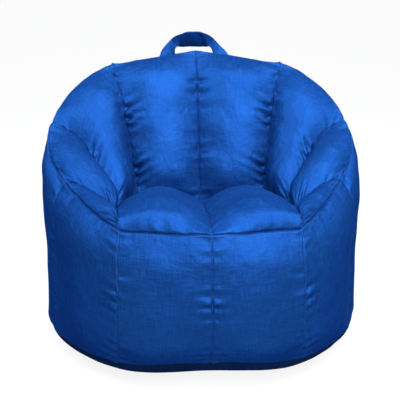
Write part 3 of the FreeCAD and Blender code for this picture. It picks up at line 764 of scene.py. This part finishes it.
# Panel edges under each row of thread. Seams that cross the middle are sewn ONCE.
SEAM_ROWS = {
    "rim": [("back_lobe", "v0"), ("wing_lobe", "v0"), ("arm_upper", "v0"), ("arm_front", "v0"),
            ("front", "v0")],
    "seat": [("back_lobe", "v1"), ("wing_lobe", "v1"), ("arm_upper", "v1"), ("arm_front", "v1"),
             ("arm_front", "u1")],
    "lobe": [("back_lobe", "u0"), ("back_lobe", "u1"), ("wing_lobe", "u1"), ("arm_upper", "u1")],
    "wall": [("rear_centre", "u0"), ("rear_centre", "u1"), ("rear_side", "u1"), ("flank_rear", "u1"),
             ("flank_front", "u1"), ("front", "u1")],
    "base": [("rear_centre", "v1"), ("rear_side", "v1"), ("flank_rear", "v1"),
             ("flank_front", "v1"), ("front", "v1")],
}
ONCE = (("back_lobe", "u0"), ("rear_centre", "u0"), ("front", "u1"))
for seam, edges in SEAM_ROWS.items():
    lines = [seam_line(panel + "_" + hand, side)
             for panel, side in edges for hand in ("right", "left")
             if hand == "right" or (panel, side) not in ONCE]
    stitched_row(seam + "_stitches", lines, [seam + "_threads"])
stitched_row("seat_centre_stitches", [seam_line("seat_right", "u0")], ["seat_centre_thread"])


# ------------------------------------------------------------------ strap
HINGE_Y, HINGE_Z = .281, .600


def wall_depth(x, z):
    """Outermost y of the finished rear cover near a place, from the panel points there."""
    cloud = np.concatenate([final["rear_centre_" + hand][0].reshape(-1, 3) for hand in ("right", "left")])
    far = (cloud[:, 0][None] - x.ravel()[:, None]) ** 2 + (cloud[:, 2][None] - z.ravel()[:, None]) ** 2
    weight = np.exp(-far / .004 ** 2) + 1e-12
    return (weight @ cloud[:, 1] / weight.sum(axis=1)).reshape(x.shape)


def carry_strap():
    """A flat folded band: an inner and an outer edge line, blended across its width.

    The band goes up one leg, turns in through a folded corner, crosses the top and
    comes down the other leg; ridges run across it where it folds."""
    # x and height over the hinge, from a sewn end to the middle of the crown
    inner = np.array([(.0455, -.036), (.0455, -.005), (.0455, .020), (.0450, .036),
                      (.0385, .0445), (.020, .0455), (0, .046)])
    outer = np.array([(.0845, -.036), (.0845, -.005), (.0830, .022), (.0640, .046),
                      (.0400, .0700), (.0200, .0815), (0, .0830)])
    inner = np.concatenate([inner * [-1, 1], inner[-2::-1]])
    outer = np.concatenate([outer * [-1, 1], outer[-2::-1]])
    along = np.linspace(0, 12, 145)
    across = np.linspace(0, 1, 25)
    lines = [resample(np.repeat(line[:, None], 2, axis=1), along, np.array([0.0]))[:, 0]
             for line in (np.pad(inner, ((0, 0), (0, 1))), np.pad(outer, ((0, 0), (0, 1))))]
    band = lines[0][:, None] * (1 - across[None, :, None]) + lines[1][:, None] * across[None, :, None]
    x, rise = band[..., 0], band[..., 1]
    top = np.clip((rise - .030) / .02, 0, 1)
    crown_part = 1 - np.clip((np.abs(np.linspace(-6, 6, 145)) - 1.4) / 1.0, 0, 1)[:, None]
    raised = np.clip((rise - .008) / .026, 0, 1)
    lean = (-.020 * crown_part + .019 * (1 - crown_part) * raised) * across[None]
    fold = .0022 * np.exp(-((x + .024 - (rise - .045) * -.15) / .0035) ** 2) * top
    fold += .0026 * np.exp(-((x - .034 + (rise - .045) * .35) / .0035) ** 2) * top
    place = np.stack([x, np.zeros_like(x), rise], -1)
    crease = .0009 * ripple(place * np.array([1, 1, .35]), .013, 21) + .0012 * ripple(place, .04, 22)
    y = np.full(x.shape, HINGE_Y) + lean - fold + crease
    low = np.clip((-.002 - rise) / .008, 0, 1)
    y = y * (1 - low) + (wall_depth(x, HINGE_Z + rise) + .0022) * low
    grid = np.stack([x - .005 * np.clip((rise - .010) / .035, 0, 1), y, HINGE_Z + rise], -1)
    strap = cloth_shell("carry_strap_cloth", grid, -1, .0026)
    strap.data.materials.append(STRAP_CLOTH)
    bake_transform(strap)
    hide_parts("carry_strap", "strap_end_left", "strap_end_right")


carry_strap()


def box_stitches():
    """A stitched box with crossed diagonals on each sewn end of the strap."""
    lines = []
    near, far, low, high = .0495, .0805, .5675, .5925
    path = np.array([(near, high), (far, high), (far, low), (near, low), (near, high), (far, low)])
    cross = np.array([(near, low), (far, high)])
    for hand in (-1, 1):
        for corners in (path, cross):
            for start, end in zip(corners[:-1], corners[1:]):
                spot = start + (end - start) * np.linspace(0, 1, 12)[:, None]
                x = spot[:, :1] * hand
                z = spot[:, 1:]
                line = np.stack([x, wall_depth(x, z) + .0023, z], -1)[:, 0]
                lines.append((line, np.tile([0.0, 1.0, 0.0], (12, 1))))
    stitched_row("strap_end_stitches", lines, [])


box_stitches()


def care_label():
    """A blank ribbon lying on the rear panel, sewn at its top edge and lifting at the free one."""
    x, z = np.meshgrid(np.linspace(.022, .068, 24), np.linspace(.103, .077, 14), indexing="ij")
    lift = .0006 + .0012 * np.clip((.100 - z) / .023, 0, 1) ** 2
    grid = np.stack([x, wall_depth(x, z) + lift, z], -1)
    label = cloth_shell("care_label_ribbon", grid, 1, .0005)
    label.data.materials.append(LABEL_CLOTH)
    keep(label, "cover", "label", "care_label")


care_label()


# ------------------------------------------------------------------ zip
TAPE_WIDTH = .016
TAPE_HALF = .188
TAPE_HEIGHT = .0024


def zip_tapes():
    """Two woven tapes: flat bands with faint cross ribs, one on each side of the chain."""
    for side, hand in (("front", -1), ("rear", 1)):
        x = np.linspace(-TAPE_HALF, TAPE_HALF, 190)
        w = np.linspace(0, 1, 12)
        height = TAPE_HEIGHT + .0001 * np.sin(x * 2 * math.pi / .004)[:, None] * np.ones(12)
        y = ZIP_Y + hand * (.0005 + TAPE_WIDTH * w)
        grid = np.stack([np.repeat(x[:, None], 12, 1), np.repeat(y[None], len(x), 0), height], -1)
        tape = cloth_shell("zip_tape_" + side + "_cloth", grid, -hand, .0007)
        tape.data.materials.append(TAPE)
        keep(tape, "cover", "zip_tape", "zip_tape_" + side)


# Woven polyester tape: close plain weave, matt, in the shade of the cover.
TAPE = woven_cloth("woven_zip_tape", "#0f2f66", "#12376f", "#16407e", .7, .05, 0, crumple=.05)
zip_tapes()


def zip_coils():
    """Closed coil zip: two interleaved rows of teeth, each tooth a bent bar of rings."""
    pitch = .0016
    x = np.arange(-.1735, .1735, pitch)
    arc = np.linspace(0, 1, BAR_RINGS)
    reach = np.where(np.arange(len(x)) % 2 == 0, -1.0, 1.0)
    y = ZIP_Y + reach[:, None] * (.0024 - .0032 * arc)[None]
    z = np.repeat((.00165 + .00005 * np.cos(arc * math.pi))[None], len(x), 0)
    centre = np.stack([np.repeat(x[:, None], BAR_RINGS, 1), y, z], -1)
    size = np.array([.15, .9, 1, 1, 1.15, .15])
    offset = np.stack([.00042 * np.cos(BAR_TURN), np.zeros(BAR_SIDES), .0005 * np.sin(BAR_TURN)], -1)
    points = centre[:, :, None] + offset[None, None] * size[None, :, None, None]
    faces = bar_faces(len(x))
    for part in faces:
        part[reach > 0] = part[reach > 0][..., ::-1]
    coils = bar_piece("zip_coil_teeth", points, *faces, smooth=False)
    coils.data.materials.append(NYLON)
    keep(coils, "cover", "zip_plastic", "zip_chain")


zip_coils()

for node in ("zip_slider", "zip_stop_left", "zip_stop_right"):
    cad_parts[node].data.materials.clear()
    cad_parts[node].data.materials.append(ZINC)


# ------------------------------------------------------------------ stage
FLOOR_Z = -.0006


def floor_material():
    """Pale matt floor with a glow of its own, so that it passes into the background."""
    material, _, shader = new_material("pale_floor")
    shader.inputs["Base Color"].default_value = linear("#5a5b5c")
    shader.inputs["Roughness"].default_value = .9
    shader.inputs["Specular IOR Level"].default_value = .1
    shader.inputs["Emission Color"].default_value = linear("#ffffff")
    shader.inputs["Emission Strength"].default_value = .88
    return material


def stage_plane():
    """Floor that curves up behind: a line of profile points carried across X."""
    bend = np.linspace(0, math.pi / 2, 17)[1:]
    depth = np.concatenate([np.linspace(-6, 3, 10), 3 + 2 * np.sin(bend), [5, 5]])
    height = FLOOR_Z + np.concatenate([np.zeros(10), 2 - 2 * np.cos(bend), [4, 9]])
    across = np.linspace(-8, 8, 9)
    grid = np.stack(np.broadcast_arrays(across[:, None], depth[None], height[None]), -1)
    floor = make_piece("studio_floor", grid.reshape(-1, 3), grid_faces(8, len(depth) - 1, 1))
    floor.data.materials.append(floor_material())


stage_plane()
LIT_POINT = Vector((0, 0, .35))


def soft_light(name, place, size, power):
    """A square white lamp aimed at the middle of the chair."""
    lamp = bpy.data.lights.new(name, "AREA")
    lamp.size = size
    lamp.energy = power
    holder = bpy.data.objects.new(name, lamp)
    holder.location = place
    holder.rotation_euler = (LIT_POINT - Vector(place)).to_track_quat("-Z", "Y").to_euler()
    bpy.context.scene.collection.objects.link(holder)


soft_light("key", (.5, -2.0, 2.1), 1.8, 106)
soft_light("left", (-1.5, -.35, 2.2), 1.2, 50)
soft_light("right", (1.5, -.35, 2.2), 1.2, 46)
soft_light("top", (.3, -.6, 2.8), 1.6, 62)
world = bpy.data.worlds.new("studio")
bpy.context.scene.world = world
world.use_nodes = True
world.node_tree.nodes["Background"].inputs["Color"].default_value = linear("#ffffff")
world.node_tree.nodes["Background"].inputs["Strength"].default_value = .12
bpy.context.scene.view_settings.view_transform = "Standard"

# Camera: turn about Z and lift above the floor, distance from its aim in metres, and lens.
TURN, LIFT, DISTANCE, AIM = math.radians(-3.5), math.radians(14), 2.6, Vector((-.005, 0, .33))
camera = bpy.data.objects.new("camera", bpy.data.cameras.new("camera"))
camera.location = AIM + DISTANCE * Vector((math.sin(TURN) * math.cos(LIFT),
                                           -math.cos(TURN) * math.cos(LIFT), math.sin(LIFT)))
camera.rotation_euler = (AIM - camera.location).to_track_quat("-Z", "Y").to_euler()
camera.data.lens = 103.5
bpy.context.scene.collection.objects.link(camera)
bpy.context.scene.camera = camera
